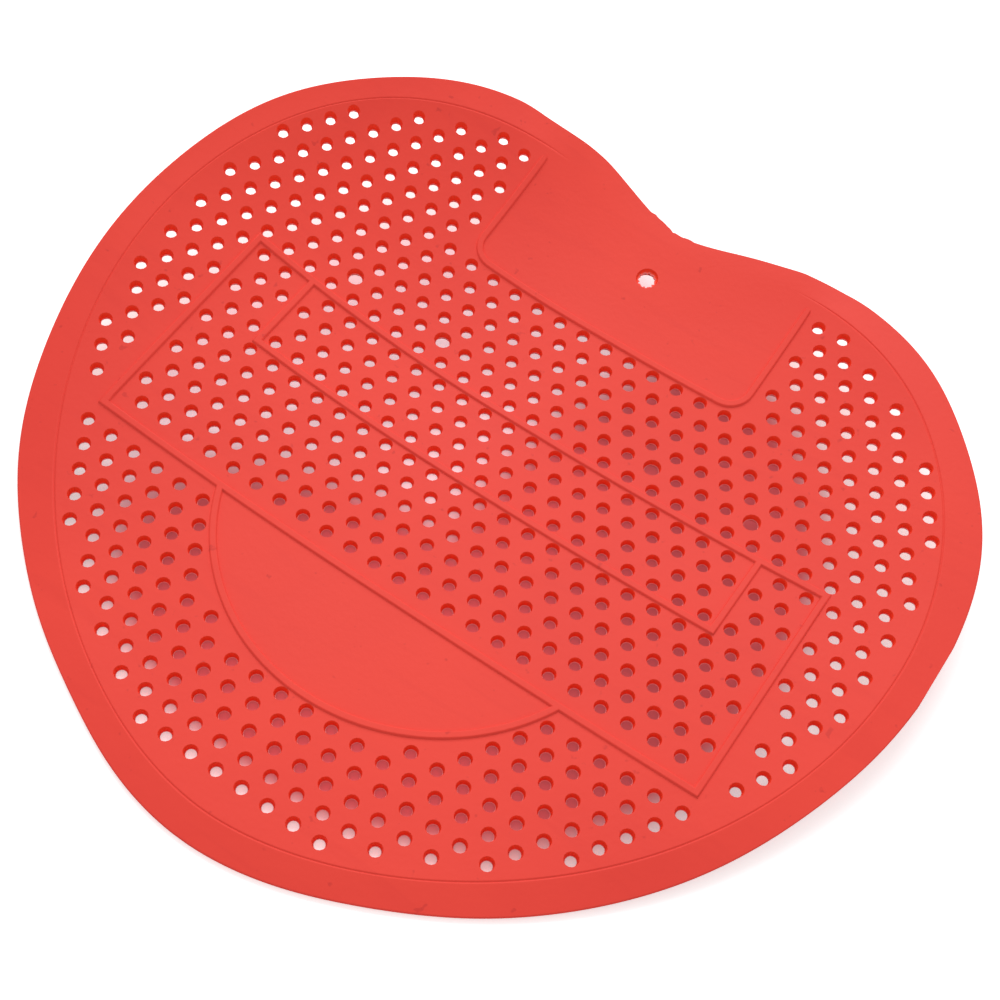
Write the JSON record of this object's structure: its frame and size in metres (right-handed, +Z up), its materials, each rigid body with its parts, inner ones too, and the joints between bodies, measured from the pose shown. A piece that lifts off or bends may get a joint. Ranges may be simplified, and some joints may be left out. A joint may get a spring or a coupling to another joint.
{
  "type": "urinal deodorizer screen",
  "caption": "Soft heart-shaped floor screen with staggered drain holes, low raised ribs around a wide panel, two plain pads and a thin sloping rim, curled up at its lobes.",
  "frame": {"origin": "bottom centre of the bounding box, on the plane that the flat middle strip lies on", "axes": "+Z up from the surface that it lies on, +Y towards the notch between the two lobes, +X across to the right lobe"},
  "size_m": [0.1816, 0.167, 0.0233],
  "materials": {
    "vinyl": "satin moulded soft vinyl"
  },
  "bodies": {
    "root": {"deodorizer_screen": "vinyl"}
  },
  "joints": []
}
